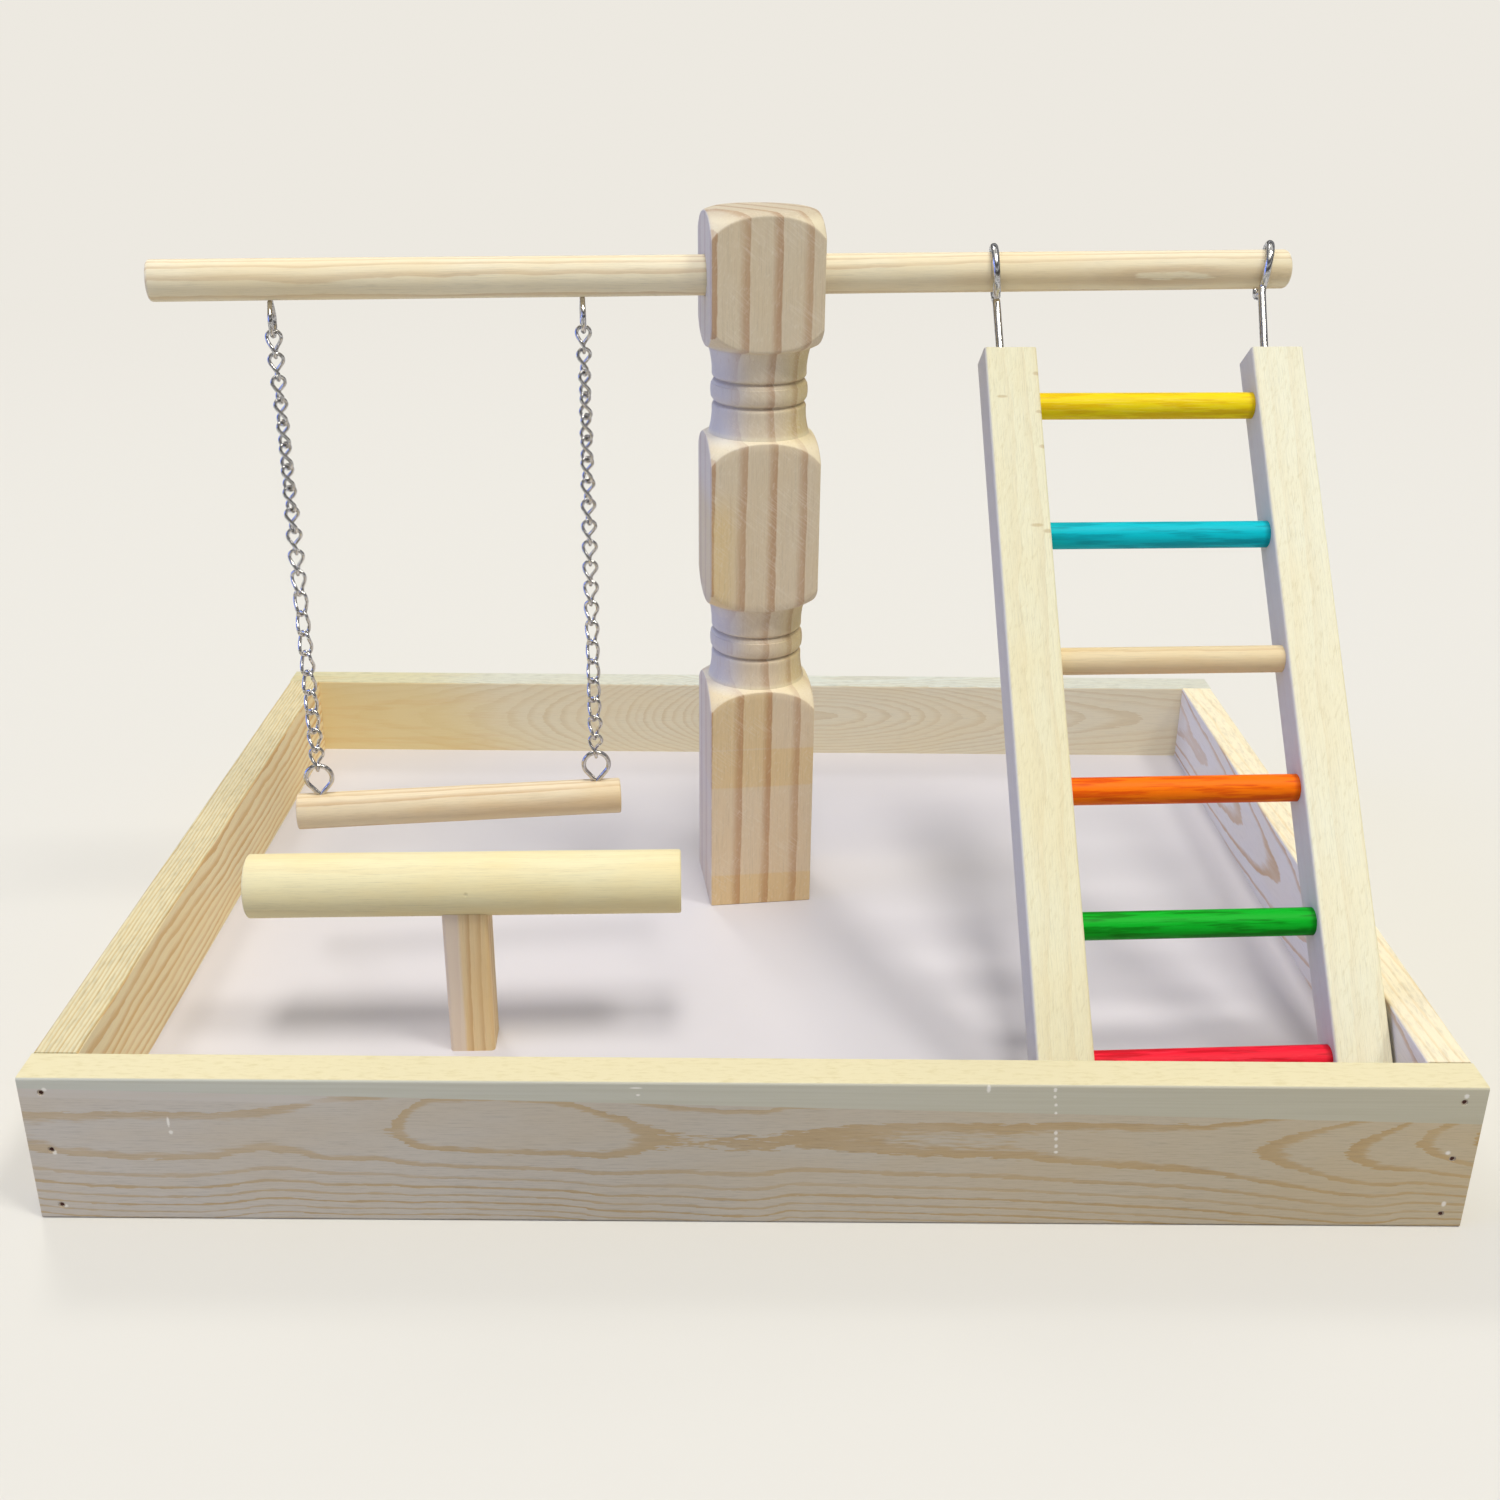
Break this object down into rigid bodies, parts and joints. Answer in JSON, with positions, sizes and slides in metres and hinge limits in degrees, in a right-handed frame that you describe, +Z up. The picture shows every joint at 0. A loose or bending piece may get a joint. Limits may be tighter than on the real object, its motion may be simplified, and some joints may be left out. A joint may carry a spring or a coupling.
{
  "type": "parrot play stand",
  "caption": "Wooden tabletop parrot play stand: shallow tray, turned centre post with a long perch, chain swing, low T-shaped perch and a slanted ladder with coloured rungs.",
  "frame": {"origin": "centre of the tray's underside, on the ground", "axes": "+X to the right along the front board, +Y to the back, +Z up"},
  "size_m": [0.596, 0.462, 0.3826],
  "materials": {
    "board_pine": "bare planed pine, wide orange-brown grain",
    "floor_white": "satin white facing with a faint pink cast",
    "post_pine": "bare turned pine, narrow striped grain",
    "perch_birch": "bare sanded dowel, fine straight grain",
    "ladder_pine": "bare pale pine with small flecks",
    "paint_yellow": "yellow stained wood, satin",
    "paint_teal": "teal stained wood, satin",
    "paint_orange": "orange stained wood, satin",
    "paint_green": "green stained wood, satin",
    "paint_red": "red stained wood, satin",
    "bright_zinc": "bright zinc-plated wire, light scuffs",
    "screw_steel": "plain zinc-plated screws",
    "brad_steel": "dull dark brad heads"
  },
  "bodies": {
    "stand": {"front_board": "board_pine", "back_board": "board_pine", "left_board": "board_pine", "right_board": "board_pine", "floor_panel": "floor_white", "frame_brads": "brad_steel", "centre_post": "post_pine", "post_screws": "screw_steel", "main_perch": "perch_birch", "upper_eye_left": "bright_zinc", "upper_eye_right": "bright_zinc", "t_post": "post_pine", "t_rod": "perch_birch", "t_pin": "perch_birch", "t_post_screw": "screw_steel"},
    "chains": {"chain_left": "bright_zinc", "chain_right": "bright_zinc"},
    "perch": {"swing_perch": "perch_birch", "lower_eye_left": "bright_zinc", "lower_eye_right": "bright_zinc"},
    "ladder": {"ladder_rail_left": "ladder_pine", "ladder_rail_right": "ladder_pine", "rung_yellow": "paint_yellow", "rung_teal": "paint_teal", "rung_natural": "ladder_pine", "rung_orange": "paint_orange", "rung_green": "paint_green", "rung_red": "paint_red", "ladder_hook_left": "bright_zinc", "ladder_hook_right": "bright_zinc"}
  },
  "joints": [
    {"name": "swing", "type": "hinge", "parent": "stand", "child": "chains", "pos_m": [-0.15556, 0.01177, 0.33258], "axis": [0.9903, 0.1392, 0], "range_deg": [-22, 45]},
    {"name": "perch_tilt", "type": "hinge", "parent": "chains", "child": "perch", "pos_m": [-0.15556, 0.01177, 0.10462], "axis": [-0.9903, -0.1392, 0], "range_deg": [-35, 35]},
    {"name": "ladder_slide", "type": "slide", "parent": "stand", "child": "ladder", "axis": [0.9903, 0.1392, 0], "range_m": [-0.03, 0]}
  ]
}
